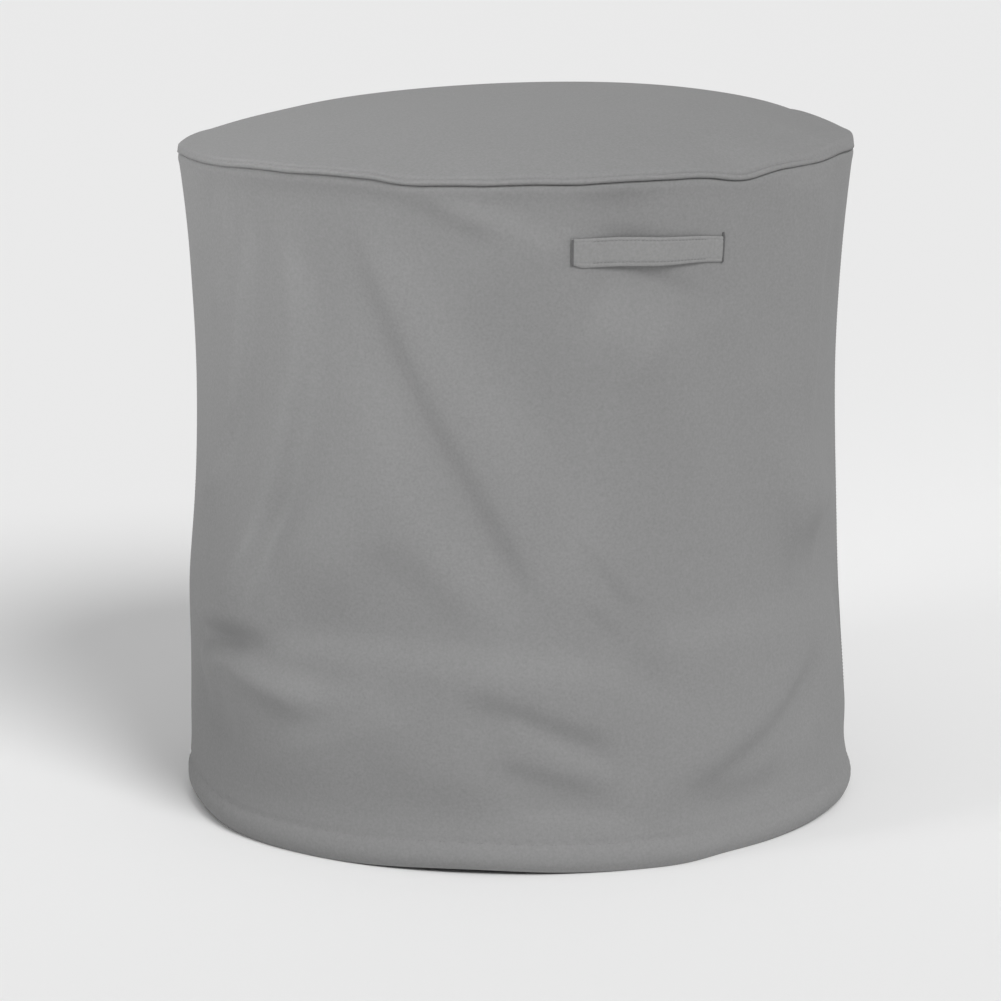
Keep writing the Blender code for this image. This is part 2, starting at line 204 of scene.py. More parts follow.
def add_band(leans, across, up, strength, width, points):
    """Adds a bell-shaped band round a route, fading over the first and last fifth of it."""
    route = band_route(points)
    start, step = route[:-1], np.diff(route, axis=0)
    girth = RELIEF_STEP * RELIEF_COLUMNS
    near = np.full(across.shape, 1e9)
    place = np.zeros(across.shape)
    for k in range(len(step)):
        x = (across - start[k, 0] + girth / 2) % girth - girth / 2
        y = up - start[k, 1]
        share = np.clip((x * step[k, 0] + y * step[k, 1]) / (step[k] @ step[k]), 0, 1)
        gap = np.hypot(x - share * step[k, 0], y - share * step[k, 1])
        closer = gap < near
        near = np.where(closer, gap, near)
        place = np.where(closer, (k + share) / len(step), place)
    fade = np.clip(np.minimum(place, 1 - place) / 0.2, 0, 1)
    leans += strength * (0.15 + 0.85 * fade * fade * (3 - 2 * fade)) * np.exp(-((near / width) ** 2))


def light_on(turn):
    """How the light on an upright wall changes as the wall turns and as it tips back: each lamp gives
    its power times the softened cosine of its angle, and the wall faces half sky and half floor. The
    floor is darker in the cover's shadow, away from the key lamp."""
    shade = np.clip((0.3 - np.cos(turn - KEY_TURN)) / 1.1, 0, 1)
    glow = FLOOR_GLOW - FLOOR_SHADE * shade * shade * (3 - 2 * shade)
    light = (SKY + glow) / 2
    turning = 0 * turn
    tipping = (SKY - glow) / 2
    for lamp_turn, rise, power in ((KEY_TURN, KEY_RISE, KEY_POWER), (FILL_TURN, FILL_RISE, FILL_POWER)):
        facing = np.cos(turn - lamp_turn) * math.cos(rise)
        soft = np.sqrt(facing**2 + 0.02)
        on = (1 + facing / soft) / 2
        light = light + power * (facing + soft) / 2
        turning = turning - power * on * np.sin(turn - lamp_turn) * math.cos(rise)
        tipping = tipping + power * on * math.sin(rise)
    return turning / light, tipping / light


def cloth_relief():
    """The height of the folds: the smoothest one that takes the lighter and darker bands, by least
    squares, solved by conjugate gradients on its waves. Stiffness keeps short waves out of it,
    tautness steep ones, and the hold of the barrel long ones. The rear takes one plain light."""
    columns = (np.arange(RELIEF_COLUMNS) - RELIEF_COLUMNS // 2) * RELIEF_STEP
    rows = np.arange(RELIEF_ROWS) * RELIEF_STEP
    across, up = np.meshgrid(columns, rows)
    bands = np.zeros(across.shape)
    for strength, width, points in LEANING_BANDS:
        add_band(bands, across, up, BAND_CONTRAST * strength, width, points)
    turns = across / (RELIEF_STEP * RELIEF_COLUMNS) * 2 * np.pi
    turning, tipping = light_on((turns + np.pi) % (2 * np.pi) - np.pi)
    behind = 0.5 - 0.5 * np.tanh((np.cos(turns) - 0.05) / 0.12)
    turning = turning * (1 - behind) + REAR_TURNING * behind
    tipping = tipping * (1 - behind) + REAR_TIPPING * behind
    waves_x = 2j * np.pi * np.fft.fftfreq(RELIEF_COLUMNS, RELIEF_STEP)[None, :]
    waves_y = 2j * np.pi * np.fft.fftfreq(RELIEF_ROWS, RELIEF_STEP)[:, None]
    size = abs(waves_x) ** 2 + abs(waves_y) ** 2
    hold = STIFFNESS * size**2 + TAUTNESS * size + HOLD_BACK

    def shade(relief):
        spectrum = np.fft.fft2(relief)
        slope_x, slope_y = np.fft.ifft2(waves_x * spectrum).real, np.fft.ifft2(waves_y * spectrum).real
        return turning * slope_x + tipping * slope_y

    def unshade(light):
        spectrum = waves_x * np.fft.fft2(turning * light) + waves_y * np.fft.fft2(tipping * light)
        return -np.fft.ifft2(spectrum).real

    ease = 1 / (hold + 0.06 * size)
    relief = np.zeros(bands.shape)
    rest = unshade(-bands)
    eased = np.fft.ifft2(ease * np.fft.fft2(rest)).real
    way, power = eased, (rest * eased).sum()
    for _ in range(RELIEF_ROUNDS):
        pull = unshade(shade(way)) + np.fft.ifft2(hold * np.fft.fft2(way)).real
        pace = power / (way * pull).sum()
        relief = relief + pace * way
        rest = rest - pace * pull
        eased = np.fft.ifft2(ease * np.fft.fft2(rest)).real
        power, before = (rest * eased).sum(), power
        way = eased + way * power / before
    return relief


RELIEF = cloth_relief()


def folds_at(turn, height):
    """The folds' relief between its grid's points, fading to nothing at the rim seam. The left side
    stands out over a shelf and over the hem band, and is drawn in at the hem: bell curves up the
    barrel, each a height, a width and a push, times one round it."""
    turn = (turn + np.pi) % (2 * np.pi) - np.pi
    bells = np.array([[0.262, 0.075, 0.0050], [0.070, 0.030, 0.0022], [0.0, 0.036, -0.0040]])
    pushes = bells[:, 2] * np.exp(-(((np.asarray(height)[..., None] - bells[:, 0]) / bells[:, 1]) ** 2))
    shelf = pushes.sum(-1) * np.exp(-(((turn + EAST) / 0.42) ** 2))
    x = turn * RELIEF_COLUMNS / (2 * np.pi) + RELIEF_COLUMNS // 2
    y = np.clip(height / RELIEF_STEP, 0, RELIEF_ROWS - 2)
    column, row = np.floor(x).astype(int), np.floor(y).astype(int)
    fx, fy = x - column, y - row
    here, beyond = column % RELIEF_COLUMNS, (column + 1) % RELIEF_COLUMNS
    low = RELIEF[row, here] * (1 - fx) + RELIEF[row, beyond] * fx
    high = RELIEF[row + 1, here] * (1 - fx) + RELIEF[row + 1, beyond] * fx
    fade = np.clip((RIM_HEIGHT - height) / 0.03, 0, 1)
    return (low * (1 - fy) + high * fy) * fade * fade * (3 - 2 * fade) + shelf


def relief_at(turn, height):
    """The folds' relief, made straight up and down behind each strap, which is stiffer than it."""
    relief = folds_at(turn, height)
    for middle in HANDLE_TURNS.values():
        reach = ((turn - middle + np.pi) % (2 * np.pi) - np.pi) * strap_pace(middle)
        line = HANDLE_HEIGHT - HANDLE_FALL * np.clip(reach, -0.1, 0.1)
        ends = np.clip((STRAP_HALF_LENGTH + 0.016 - abs(reach)) / 0.012, 0, 1)
        sides = np.clip((STRAP_HALF_WIDTH + 0.014 - abs(height - line)) / 0.012, 0, 1)
        hold = ends * ends * (3 - 2 * ends) * sides * sides * (3 - 2 * sides)
        relief = relief * (1 - hold) + folds_at(turn, line) * hold
    return relief


def hem_relief(turn, height):
    """The turned hem: a soft roll between its stitching and its fold, drawn in at the stitching and
    rippled by small slanting puckers."""
    share = np.clip(height / HEM_BAND, 0, 1.6)
    roll = 0.0022 * np.sin(np.pi * np.clip(share, 0, 1)) ** 0.8
    draw = -0.0009 * np.exp(-(((share - 1) / 0.11) ** 2))
    slant = turn * MEAN_RADIUS + 0.7 * height
    ripple = np.sin(2 * np.pi * slant / 0.021 + 1.9 * np.sin(9 * turn))
    ripple = ripple * (0.55 + 0.45 * np.sin(5 * turn + 1))
    return roll + draw + 0.00045 * ripple * np.exp(-(((share - 0.85) / 0.33) ** 2))


def seam_relief(turn, height):
    """The side seams' narrow grooves, with a low ridge of turned cloth on each side of them, and the
    tuck of the skirt's top under the piping, with a ridge below it."""
    side = np.where(np.sin(turn) > 0, 1.0, -1.0)
    past = (np.arcsin(np.clip(abs(np.sin(turn)), 0, 1)) - EAST) * np.sign(np.cos(turn))
    reach = past * side * MEAN_RADIUS
    groove = -0.0009 * np.exp(-((reach / 0.0022) ** 2))
    ridge = 0.0008 * np.exp(-(((abs(reach) - 0.007) / 0.005) ** 2))
    below = RIM_HEIGHT - height
    tuck = -0.0024 * np.exp(-((below / 0.0045) ** 2)) + 0.0005 * np.exp(-(((below - 0.011) / 0.005) ** 2))
    return groove + ridge + tuck


def cloth_out(turn):
    """The level direction out of the barrel at a turn."""
    out = np.stack([DEPTH_RATIO * np.sin(turn), -np.cos(turn), 0 * turn], -1)
    return out / np.linalg.norm(out, axis=-1, keepdims=True)


def barrel_point(turn, height, out_by):
    """A point on the plain barrel, an oval of the height's half width, moved out by a distance, and
    up by the rim's wave near the rim and by the hem's wave near the hem."""
    wide = half_width(height)
    point = np.stack([wide * np.sin(turn), -wide * DEPTH_RATIO * np.cos(turn), height + 0 * turn], -1)
    point = point + cloth_out(turn) * out_by[..., None]
    point[..., 2] += rim_wave(turn) * np.clip(height / RIM_HEIGHT, 0, 1.1) ** 8
    point[..., 2] += hem_wave(turn) * np.clip(1 - height / 0.16, 0, 1) ** 2
    return point


def cloth_point(turn, height, lift=0.0):
    """A point on the skirt's outer face, or off it by lift, with the folds, hem and seams on it."""
    turn, height, lift = np.broadcast_arrays(*(np.asarray(value, float) for value in (turn, height, lift)))
    moved = relief_at(turn, height) + hem_relief(turn, height) + seam_relief(turn, height)
    return barrel_point(turn, height, moved + lift)


# --- Cover cloth: its finish ----------------------------------------------------------------------
# Plain-woven 600 denier polyester, solution-dyed mid grey and coated on the inside: matt, with a
# fine even weave, a faint mottle and slightly paler yarn crowns.

CLOTH_GREY = 0.221
YARN_PITCH = 0.0011


class Wire:
    """One output of a node tree. Arithmetic on it adds Math nodes."""

    def __init__(self, tree, socket):
        self.tree, self.socket = tree, socket

    def node(self, kind, settings=None, **links):
        """Any node of this tree: its settings first, then its sockets by name or place."""
        made = self.tree.nodes.new(kind)
        for key, value in (settings or {}).items():
            setattr(made, key, value)
        for key, value in links.items():
            name = int(key[1:]) if key[0] == "_" and key[1:].isdigit() else key.replace("_", " ")
            self.feed(made.inputs[name], value)
        return made

    def feed(self, socket, value):
        if isinstance(value, Wire):
            self.tree.links.new(value.socket, socket)
        else:
            socket.default_value = value

    def math(self, operation, first, second=0.0):
        made = self.node("ShaderNodeMath", {"operation": operation}, _0=first, _1=second)
        return Wire(self.tree, made.outputs[0])

    def __add__(self, other):
        return self.math("ADD", self, other)

    def __sub__(self, other):
        return self.math("SUBTRACT", self, other)

    def __mul__(self, other):
        return self.math("MULTIPLY", self, other)

    __radd__ = __add__

    def sine(self):
        return self.math("SINE", self)

    def noise(self, vector, scale, detail=2.0):
        made = self.node("ShaderNodeTexNoise", Vector=vector, Scale=scale, Detail=detail, Roughness=0.55)
        return Wire(self.tree, made.outputs["Fac"])

    def tint(self, amount, colour):
        """A colour made lighter or darker by an amount that is 1 where it stays as it is."""
        mixed = self.node(
            "ShaderNodeMix",
            {"data_type": "RGBA", "blend_type": "MULTIPLY"},
            _0=1.0,
            _6=(*colour, 1.0),
            _7=amount,
        )
        return Wire(self.tree, mixed.outputs[2])


def new_finish(name, roughness, sheen=0.0, specular=0.3):
    """A material with its constant sockets set. Returns it with its shader and a Wire to start from."""
    made = bpy.data.materials.new(name)
    made.use_nodes = True
    tree = made.node_tree
    shader = tree.nodes["Principled BSDF"]
    shader.inputs["Roughness"].default_value = roughness
    shader.inputs["Sheen Weight"].default_value = sheen
    shader.inputs["Sheen Roughness"].default_value = 0.6
    shader.inputs["Specular IOR Level"].default_value = specular
    return made, shader, Wire(tree, None)


def woven(name, grey, pitch, mottle, relief, roughness=0.88):
    """Woven cloth on its own "cloth" map, whose unit is a metre. A crown shows where one yarn passes
    over the other: the product of a sine across and a sine along, with a noise that uneven yarn gives."""
    made, shader, start = new_finish(name, roughness, sheen=0.05, specular=0.2)
    tree = start.tree
    place = Wire(tree, start.node("ShaderNodeUVMap", {"uv_map": "cloth"}).outputs[0])
    solid = Wire(tree, start.node("ShaderNodeTexCoord").outputs["Object"])
    split = start.node("ShaderNodeSeparateXYZ", Vector=place)
    across, along = Wire(tree, split.outputs[0]), Wire(tree, split.outputs[1])
    slub = start.noise(solid, 420.0, 3.0)
    wave = 2 * math.pi / pitch
    weft = (across * wave + slub * 1.2).sine()
    warp = (along * wave + slub * 1.2).sine()
    crown = (weft * warp) * 0.5 + 0.5
    blotch = start.noise(solid, 9.0, 3.0)
    grain = start.noise(solid, 330.0, 3.0)
    shade = 1.0 + (blotch - 0.5) * (mottle * 0.8) + (grain - 0.5) * (mottle * 7.0) + (crown - 0.5) * 0.10
    even = start.node("ShaderNodeCombineColor", _0=shade, _1=shade, _2=shade)
    start.feed(shader.inputs["Base Color"], start.tint(Wire(tree, even.outputs[0]), grey))
    height = crown * 0.7 + slub * 0.5
    bump = start.node("ShaderNodeBump", Strength=0.35, Distance=relief, Height=height)
    start.feed(shader.inputs["Normal"], Wire(tree, bump.outputs[0]))
    return made


COVER_CLOTH = woven("cover_cloth", (CLOTH_GREY, CLOTH_GREY, CLOTH_GREY), YARN_PITCH, 0.05, 0.0002)


# --- Skirt panels ---------------------------------------------------------------------------------
# A front and a rear panel of cover cloth, cut alike and sewn together at the two sides. Each panel's
# lower edge turns under in a small round fold.

CLOTH_THICKNESS = 0.0008
SKIRT_TOP = RIM_HEIGHT - 0.0022
FOLD_RADIUS = 0.0016


def grid_mesh(name, points, places, loop_length=0.0, capped=False):
    """A surface of rows by columns of points, with the cloth map in metres. A face looks along its
    row crossed with its column. A loop length joins the last column to the first, and capped closes
    the first and last rows of such a tube."""
    rows, columns = points.shape[:2]
    index = np.arange(rows * columns).reshape(rows, columns)
    right = np.roll(index, -1, axis=1) if loop_length else index[:, 1:]
    left = index if loop_length else index[:, :-1]
    quads = np.stack([left[:-1], right[:-1], right[1:], left[1:]], -1)
    corners = places.reshape(-1, 2)[quads]
    if loop_length:
        corners[:, -1, 1:3, 0] += loop_length
    caps = [index[0, ::-1], index[-1]] if capped else []
    mesh = bpy.data.meshes.new(name)
    faces = quads.reshape(-1, 4).tolist() + [cap.tolist() for cap in caps]
    mesh.from_pydata(points.reshape(-1, 3), [], faces)
    unrolled = np.concatenate([corners.reshape(-1, 2)] + [places.reshape(-1, 2)[cap] for cap in caps])
    mesh.uv_layers.new(name="cloth").data.foreach_set("uv", unrolled.reshape(-1).astype(np.float32))
    mesh.update()
    mesh.shade_smooth()
    if capped:
        mesh.set_sharp_from_angle(angle=math.radians(55))
    return mesh


def made_piece(name, mesh, finish, body, slot, *nodes, wall=0.0):
    """Puts a mesh into the scene as a piece of the cover. A wall is a thickness behind the surface. A piece
    with no body is left unattached."""
    piece = bpy.data.objects.new(name, mesh)
    bpy.context.collection.objects.link(piece)
    mesh.materials.append(finish)
    if wall:
        thickness = piece.modifiers.new("thickness", "SOLIDIFY")
        thickness.thickness = wall
        thickness.offset = -1.0
    if body:
        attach(piece, body)
    if nodes:
        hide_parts(*nodes)
    return piece


def map_places(turns, heights):
    """The cloth map of a grid of turns by heights: metres round the barrel, and metres up."""
    return np.stack(np.broadcast_arrays(turns[None, :] * MEAN_RADIUS, heights[:, None]), -1)


def skirt_panel(name, node, first, last):
    """The barrel surface from turn to turn. The fold at its foot is a quarter circle inwards."""
    turns = np.linspace(first, last, 273)
    heights = np.concatenate([np.linspace(FOLD_RADIUS, 0.045, 15), np.linspace(0.050, 0.770, 135)])
    heights = np.concatenate([heights, np.linspace(0.7728, SKIRT_TOP, 6)])
    body = cloth_point(turns[None, :], heights[:, None])
    foot = cloth_point(turns, FOLD_RADIUS)
    inwards = -cloth_out(turns) * FOLD_RADIUS
    down = np.array([0, 0, FOLD_RADIUS])
    bends = np.radians([90, 60, 30])
    fold = np.stack([foot + inwards * (1 - math.cos(a)) - down * math.sin(a) for a in bends])
    levels = np.concatenate([[-0.0010, -0.0002, 0.0007], heights])
    mesh = grid_mesh(name, np.concatenate([fold, body]), map_places(turns, levels))
    return made_piece(name, mesh, COVER_CLOTH, "cover", "cover_cloth", node, wall=CLOTH_THICKNESS)


front_skirt = skirt_panel("front_skirt_cloth", "front_skirt_panel", -EAST, EAST)
rear_skirt = skirt_panel("rear_skirt_cloth", "rear_skirt_panel", EAST, 3 * EAST)

# --- Hem ------------------------------------------------------------------------------------------
# The skirt's edge is turned up inside by 34 mm and sewn down with one row of lockstitch in grey
# thread, which draws the cloth in and puckers it.

FACING_TOP = 0.0335
HEM_MEAN_RADIUS = 0.40
STITCH_LENGTH = 0.0034
STITCH_PITCH = 0.0043
THREAD_RADIUS = 0.00030
THREAD_GREY = (0.150, 0.150, 0.150)


def hem_facing(name, node, first, last):
    """The turned-up cloth: from the fold it rises 1.6 mm behind the panel and ends against it."""
    turns = np.linspace(last, first, 241)
    heights = np.array([0.0002, 0.0008, 0.0020, 0.0050, 0.0100, 0.0160, 0.0220, 0.0270, 0.0310, FACING_TOP])
    gap = 0.0024 - 0.0013 * (heights / FACING_TOP) ** 2
    gap[:2] = [0.0019, 0.0022]
    points = cloth_point(turns[None, :], heights[:, None], -(gap + CLOTH_THICKNESS)[:, None])
    mesh = grid_mesh(name, points, map_places(turns, heights))
    return made_piece(name, mesh, COVER_CLOTH, "cover", "cover_cloth", node, wall=CLOTH_THICKNESS)


def stitch_mesh(name, middles, along, out, length, radius, arch=0.35):
    """One short thread for each middle: five rings and two tips along the thread, whose radius is
    that of an ellipse, bent so that its tips go into the cloth by a share of the radius."""
    count, sides = len(middles), 6
    share = np.array([-1, -0.86, -0.45, 0, 0.45, 0.86, 1])
    around = np.arange(sides) * 2 * np.pi / sides
    across = np.cross(out, along)
    centres = middles[:, None] + along[:, None] * (share * length / 2)[:, None]
    centres = centres + out[:, None] * (radius * (arch - 1.6 * share**4))[:, None]
    girth = radius * np.sqrt(1 - (share[1:-1] / 1.02) ** 4)
    spokes = across[:, None] * np.cos(around)[:, None] + out[:, None] * np.sin(around)[:, None]
    rings = centres[:, 1:-1, None] + spokes[:, None] * girth[:, None, None]
    points = np.concatenate([rings.reshape(count, -1, 3), centres[:, :1], centres[:, -1:]], axis=1)
    ring = np.arange(5 * sides).reshape(5, sides)
    turned = np.roll(ring, -1, axis=1)
    quads = np.stack([ring[:-1], ring[1:], turned[1:], turned[:-1]], -1).reshape(-1, 4)
    first = np.stack([ring[0], turned[0], np.full(sides, 5 * sides)], -1)
    last = np.stack([turned[-1], ring[-1], np.full(sides, 5 * sides + 1)], -1)
    steps = np.arange(count)[:, None, None] * (5 * sides + 2)
    faces = (quads + steps).reshape(-1, 4).tolist()
    faces += (first + steps).reshape(-1, 3).tolist() + (last + steps).reshape(-1, 3).tolist()
    mesh = bpy.data.meshes.new(name)
    mesh.from_pydata(points.reshape(-1, 3), [], faces)
    mesh.shade_smooth()
    return mesh


def spun(name, grey, surface, lay, contrast, bump):
    """Spun yarn: a fine noise, whose scale and detail are the lay, stands for its plies. It makes the
    grey lighter and darker by half the contrast, and stands out by the bump's strength and distance."""
    made, shader, start = new_finish(name, *surface)
    solid = Wire(start.tree, start.node("ShaderNodeTexCoord").outputs["Object"])
    ply = start.noise(solid, *lay)
    shade = (1 - contrast / 2) + ply * contrast
    colour = start.node("ShaderNodeCombineColor", _0=shade, _1=shade, _2=shade)
    start.feed(shader.inputs["Base Color"], start.tint(Wire(start.tree, colour.outputs[0]), grey))
    stands = start.node("ShaderNodeBump", Strength=bump[0], Distance=bump[1], Height=ply)
    start.feed(shader.inputs["Normal"], Wire(start.tree, stands.outputs[0]))
    return made


def thread(name, grey):
    """Bonded polyester thread: satin, with fine plies."""
    return spun(name, grey, (0.55, 0.0, 0.4), (1900.0, 2.0), 0.5, (0.5, 0.0001))


def stitch_row(turns, heights):
    """Where the stitches of a row go, as places, directions along the row and directions out. The
    direction along is towards the point of the cloth half a millimetre further on."""
    middles = cloth_point(turns, heights)
    ahead = np.gradient(turns), np.gradient(heights)
    step = 0.0005 / np.hypot(ahead[0] * MEAN_RADIUS, ahead[1])
    along = cloth_point(turns + step * ahead[0], heights + step * ahead[1]) - middles
    along /= np.linalg.norm(along, axis=-1, keepdims=True)
    upright = np.cross(along, cloth_out(turns))
    out = np.cross(upright, along)
    return middles, along, out / np.linalg.norm(out, axis=-1, keepdims=True)


SEWING_THREAD = thread("sewing_thread", THREAD_GREY)
front_facing = hem_facing("front_hem_turn_up", "front_hem_facing", -EAST, EAST)
rear_facing = hem_facing("rear_hem_turn_up", "rear_hem_facing", EAST, 3 * EAST)
hem_turns = np.arange(0, 2 * np.pi, STITCH_PITCH / HEM_MEAN_RADIUS)
hem_row = stitch_row(hem_turns, np.full(hem_turns.shape, HEM_BAND))
made_piece(
    "hem_stitching",
    stitch_mesh("hem_stitching", *hem_row, STITCH_LENGTH, THREAD_RADIUS),
    SEWING_THREAD,
    "cover",
    "sewing_thread",
)

# --- Top panel ------------------------------------------------------------------------------------
# One oval of cover cloth, drawn over the lid: nearly flat in the middle, falling away steeply near
# the rim, a little higher towards +X. It ends inside the piping.

TOP_EDGE = 0.3988
CROWN = 0.0466
SEAM_RISE = 0.0058


def side_share(turn):
    """How far a turn is into the cover's two sides: none over the front and back, one at the side."""
    share = np.clip((abs(np.sin(turn)) - 0.62) / 0.38, 0, 1)
    return share * share * (3 - 2 * share)


def crown_height(reach, turn):
    """The dome over the rim: the crown times one less the reach to the power 3.3, leaning to +X. It
    rises at once from the seam, stands fuller at the two sides, and has shallow slack, and small
    pulls of the stitches, near the rim."""
    dome = CROWN * (1 - reach**3.3) * (1 + 0.28 * reach * np.sin(turn))
    rise = SEAM_RISE * (1 - np.exp(-(((1 - reach) / 0.007) ** 2)))
    rise = rise - 0.0015 * np.exp(-(((1 - reach) / 0.003) ** 2))
    full = (0.0032 + 0.0026 * np.sin(turn)) * np.exp(-(((reach - 0.968) / 0.034) ** 2)) * side_share(turn)
    slack = 0.0006 * np.sin(7 * turn + 1.2) + 0.0004 * np.sin(11 * turn + 0.4)
    pull = 0.0003 * np.sin(23 * turn + 2.0 * np.sin(3 * turn)) * np.exp(-(((reach - 0.95) / 0.035) ** 2))
    ends = np.clip((1 - reach) / 0.016, 0, 1)
    return dome + rise + (full + slack * np.exp(-(((reach - 0.84) / 0.14) ** 2)) + pull) * ends


def top_cloth():
    """Rings from the rim in, on whose points the crown stands, closed by a fan at the middle. At the
    sides the rings near the rim are spread outwards, so that the cloth rolls over the seam."""
    turns = np.linspace(0, 2 * np.pi, 361)[:-1]
    reach = np.concatenate([np.linspace(0.012, 0.90, 70), np.linspace(0.905, 1.0, 27)])[::-1, None]
    roll = 0.0115 * np.exp(-(((reach - 0.985) / 0.014) ** 2)) * side_share(turns)
    wide = TOP_EDGE * (reach + roll)
    high = RIM_HEIGHT + crown_height(reach, turns) + rim_wave(turns) * reach**6
    points = np.stack([wide * np.sin(turns), -wide * DEPTH_RATIO * np.cos(turns), high], -1)
    index = np.arange(points.shape[0] * points.shape[1]).reshape(points.shape[:2])
    points = np.concatenate([points.reshape(-1, 3), [[0.0, 0.0, RIM_HEIGHT + CROWN + SEAM_RISE]]])
    beside = np.roll(index, -1, axis=1)
    quads = np.stack([index[:-1], beside[:-1], beside[1:], index[1:]], -1).reshape(-1, 4)
    fan = np.stack([index[-1], beside[-1], np.full(len(turns), len(points) - 1)], -1)
    mesh = bpy.data.meshes.new("top_cloth")
    mesh.from_pydata(points, [], quads.tolist() + fan.tolist())
    places = np.concatenate([points[quads.reshape(-1), :2], points[fan.reshape(-1), :2]])
    mesh.uv_layers.new(name="cloth").data.foreach_set("uv", places.reshape(-1).astype(np.float32))
    mesh.shade_smooth()
    return mesh


top = made_piece(
    "top_cloth", top_cloth(), COVER_CLOTH, "cover", "cover_cloth", "top_panel", wall=CLOTH_THICKNESS
)

# --- Piping ---------------------------------------------------------------------------------------
# A strip of cover cloth wrapped round a filler cord and caught in the rim seam, so that it stands
# proud as a round bead.

PIPING_RADIUS = 0.0030
PIPING_CORD_RADIUS = 0.0022
PIPING_HALF_WIDTH = 0.3990
PIPING_DRAWN_IN = 0.0026
PIPING_WAVER = 0.035


def rim_bead(name, radius, sides, waver):
    """A ring round the rim: a circle of points carried round the oval, waving with the seam and
    drawn in at the two sides. Its radius wavers by a small share, as the stitches pull on it."""
    turns = np.linspace(0, 2 * np.pi, 481)[:-1]
    around = np.linspace(0, 2 * np.pi, sides + 1)[:, None, None]
    wide = PIPING_HALF_WIDTH - PIPING_DRAWN_IN * side_share(turns)
    centre = np.stack([wide * np.sin(turns), -wide * DEPTH_RATIO * np.cos(turns), 0 * turns], -1)
    centre[:, 2] = RIM_HEIGHT + 0.0006 + rim_wave(turns)
    drawn = 1 + waver * (np.sin(43 * turns) + 0.8 * np.sin(71 * turns + 1))
    radii = (radius * drawn)[None, :, None]
    points = centre + radii * (cloth_out(turns) * np.cos(around) + np.array([0, 0, 1]) * np.sin(around))
    places = map_places(turns, around[:, 0, 0] * radius)
    mesh = grid_mesh(name, points, places, loop_length=2 * np.pi * MEAN_RADIUS)
    work = bmesh.new()
    work.from_mesh(mesh)
    bmesh.ops.remove_doubles(work, verts=work.verts, dist=1e-6)
    work.to_mesh(mesh)
    work.free()
    return mesh


def filler(name, grey):
    """Soft-laid filler yarn: matt, with a coarse twist."""
    return spun(name, grey, (0.95, 0.2, 0.1), (600.0, 3.0), 0.4, (0.6, 0.0004))


piping = made_piece(
    "piping_bead",
    rim_bead("piping_bead", PIPING_RADIUS, 14, PIPING_WAVER),
    COVER_CLOTH,
    "cover",
    "cover_cloth",
    "piping_wrap",
)
made_piece(
    "piping_filler",
    rim_bead("piping_filler", PIPING_CORD_RADIUS, 8, 0.0),
    filler("piping_filler", (0.62, 0.60, 0.56)),
    "cover",
    "piping_filler",
    "piping_cord",
)

# --- Seam tapes and rim binding -------------------------------------------------------------------
# Inside, a dark woven tape covers the raw edges of each side seam, and another hangs under the rim
# seam. A row of stitches beside each side seam holds its turned edges flat.

TAPE_GREY = (0.070, 0.070, 0.073)
TAPE_WALL = 0.0009
TAPE_HALF_WIDTH = 0.011
TAPE_LOW, TAPE_HIGH = 0.0375, 0.762
INNER_GAP = 0.0005
BINDING_LOW, BINDING_HIGH = 0.7648, 0.7832
BINDING_SET_BACK = 0.0006
SEAM_ROW_REACH = 0.0055
SEAM_ROW_LOW, SEAM_ROW_HIGH = 0.004, 0.780

LINING_TAPE = woven("lining_tape", TAPE_GREY, 0.0016, 0.06, 0.0003, roughness=0.8)


def inner_patch(name, node, finish, slot, turns, heights, wall):
    """Cloth that lies against the skirt's inner face. Its turns run downwards, so it looks inwards."""
    points = cloth_point(turns[None, :], heights[:, None], -(CLOTH_THICKNESS + wall + INNER_GAP))
    mesh = grid_mesh(name, points, map_places(turns, heights))
    return made_piece(name, mesh, finish, "cover", slot, node, wall=wall)


def side_tape(side, seam):
    """The tape over one side seam, from the hem's facing up to the rim's binding."""
    reach = TAPE_HALF_WIDTH / (MEAN_RADIUS * DEPTH_RATIO)
    inner_patch(
        f"{side}_seam_lining",
        f"{side}_side_seam_tape",
        LINING_TAPE,
        "lining_tape",
        np.linspace(seam + reach, seam - reach, 13),
        np.linspace(TAPE_LOW, TAPE_HIGH, 150),
        TAPE_WALL,
    )


def rim_lining():
    """The rim's binding: a band that hangs behind the skirt's top, with a slight ripple in it that
    grows downwards."""
    turns = np.linspace(2 * np.pi, 0, 401)[:-1]
    heights = np.linspace(BINDING_LOW, BINDING_HIGH, 7)
    ripple = 0.0004 * np.sin(57 * turns[None, :]) * (BINDING_HIGH - heights[:, None]) / 0.018
    lift = -(CLOTH_THICKNESS + TAPE_WALL + INNER_GAP) - BINDING_SET_BACK + ripple
    points = cloth_point(turns[None, :], heights[:, None], lift)
    places = map_places(turns, heights)
    mesh = grid_mesh("rim_lining", points, places, loop_length=-2 * np.pi * MEAN_RADIUS)
    made_piece(
        "rim_lining", mesh, LINING_TAPE, "cover", "lining_tape", "rim_seam_binding", wall=TAPE_WALL
    )


side_tape("left", -EAST)
side_tape("right", EAST)
rim_lining()
for side, seam, towards_front in (("left", -EAST, 1), ("right", EAST, -1)):
    row_heights = np.arange(SEAM_ROW_LOW, SEAM_ROW_HIGH, STITCH_PITCH)
    row_turns = np.full(row_heights.shape, seam + towards_front * SEAM_ROW_REACH / MEAN_RADIUS)
    row = stitch_row(row_turns, row_heights)
    made_piece(
        f"{side}_seam_stitching",
        stitch_mesh(f"{side}_seam_stitching", *row, STITCH_LENGTH, THREAD_RADIUS),
        SEWING_THREAD,
        "cover",
        "sewing_thread",
    )

# --- Carrying handles -----------------------------------------------------------------------------
# One on the front and one on the back: a sleeve of cloth on a core, 184 mm by 30 mm, stitched along
# both edges. Its flat ends are sewn through the skirt to a backing, each under a dense bar tack.

